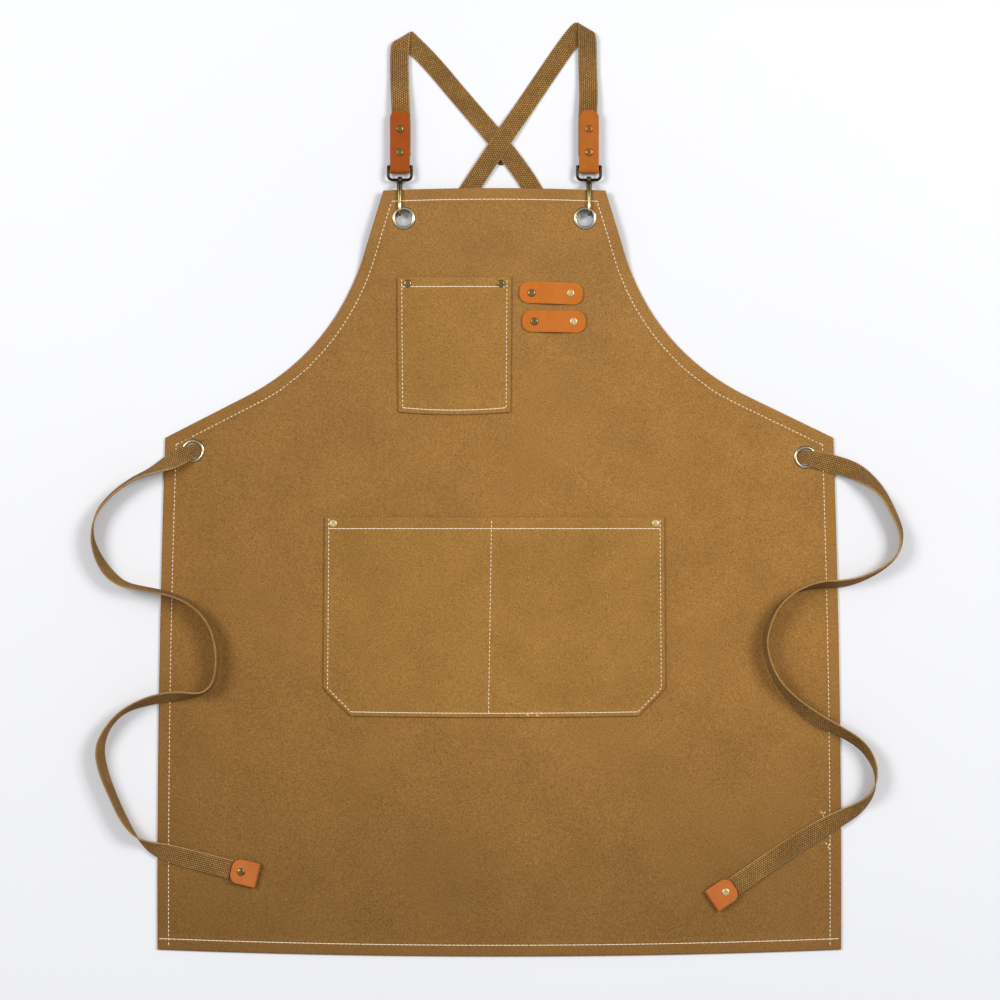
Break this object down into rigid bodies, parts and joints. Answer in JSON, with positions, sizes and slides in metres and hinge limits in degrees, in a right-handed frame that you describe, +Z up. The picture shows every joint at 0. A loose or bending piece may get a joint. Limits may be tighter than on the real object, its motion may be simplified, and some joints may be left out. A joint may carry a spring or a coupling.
{
  "type": "cross-back work apron",
  "caption": "Cross-back canvas work apron lying flat, with pockets, leather tool loops, webbing straps and swivel snap hooks on eyelets.",
  "frame": {"origin": "on the floor under the middle of the apron, from the hem to the tops of the hook tabs, without its free straps", "axes": "+Z up from the floor through the face of the apron, +Y from the hem towards the bib, +X towards the right as seen from above"},
  "size_m": [0.8277, 0.9621, 0.0221],
  "materials": {
    "canvas": "waxed cotton canvas, brown",
    "webbing": "woven cotton webbing, olive brown",
    "leather": "vegetable-tanned leather, orange tan, semi-matt",
    "brass": "antique brass plate, worn bright on the edges",
    "spring_steel": "spring steel wire"
  },
  "bodies": {
    "apron": {"apron_panel": "canvas", "chest_pocket": "canvas", "chest_pocket_rivet_backs": "brass", "chest_pocket_rivets": "brass", "left_bib_eyelet": "brass", "left_bib_washer": "brass", "left_end_tab": "leather", "left_end_tab_rivet_backs": "brass", "left_end_tab_rivets": "brass", "left_hook_tab": "leather", "left_hook_tab_rivet_backs": "brass", "left_hook_tab_rivets": "brass", "left_side_eyelet": "brass", "left_side_washer": "brass", "left_strap": "webbing", "left_swivel_ring": "brass", "lower_pocket": "canvas", "lower_pocket_rivet_backs": "brass", "lower_pocket_rivets": "brass", "lower_tool_loop": "leather", "right_bib_eyelet": "brass", "right_bib_washer": "brass", "right_end_tab": "leather", "right_end_tab_rivet_backs": "brass", "right_end_tab_rivets": "brass", "right_hook_tab": "leather", "right_hook_tab_rivet_backs": "brass", "right_hook_tab_rivets": "brass", "right_side_eyelet": "brass", "right_side_washer": "brass", "right_strap": "webbing", "right_swivel_ring": "brass", "strap_keeper": "webbing", "tool_loop_rivet_backs": "brass", "tool_loop_rivets": "brass", "upper_tool_loop": "leather"},
    "left_hook": {"left_hook": "brass", "left_gate_pin": "brass", "left_gate_spring": "spring_steel"},
    "left_gate": {"left_gate": "brass"},
    "right_hook": {"right_hook": "brass", "right_gate_pin": "brass", "right_gate_spring": "spring_steel"},
    "right_gate": {"right_gate": "brass"}
  },
  "joints": [
    {"name": "left_hook_swivel", "type": "hinge", "parent": "apron", "child": "left_hook", "pos_m": [-0.1016, 0.3596, 0.0067], "axis": [0, 1, 0], "range_deg": [-15, 15]},
    {"name": "left_gate_hinge", "type": "hinge", "parent": "left_hook", "child": "left_gate", "pos_m": [-0.1016, 0.3574, 0.0015], "axis": [-1, 0, 0], "range_deg": [0, 20], "stiffness_Nm_per_rad": 0.004, "springref_deg": -20.05},
    {"name": "right_hook_swivel", "type": "hinge", "parent": "apron", "child": "right_hook", "pos_m": [0.0916, 0.3596, 0.0067], "axis": [0, 1, 0], "range_deg": [-15, 15]},
    {"name": "right_gate_hinge", "type": "hinge", "parent": "right_hook", "child": "right_gate", "pos_m": [0.0916, 0.3574, 0.0015], "axis": [-1, 0, 0], "range_deg": [0, 20], "stiffness_Nm_per_rad": 0.004, "springref_deg": -20.05}
  ]
}
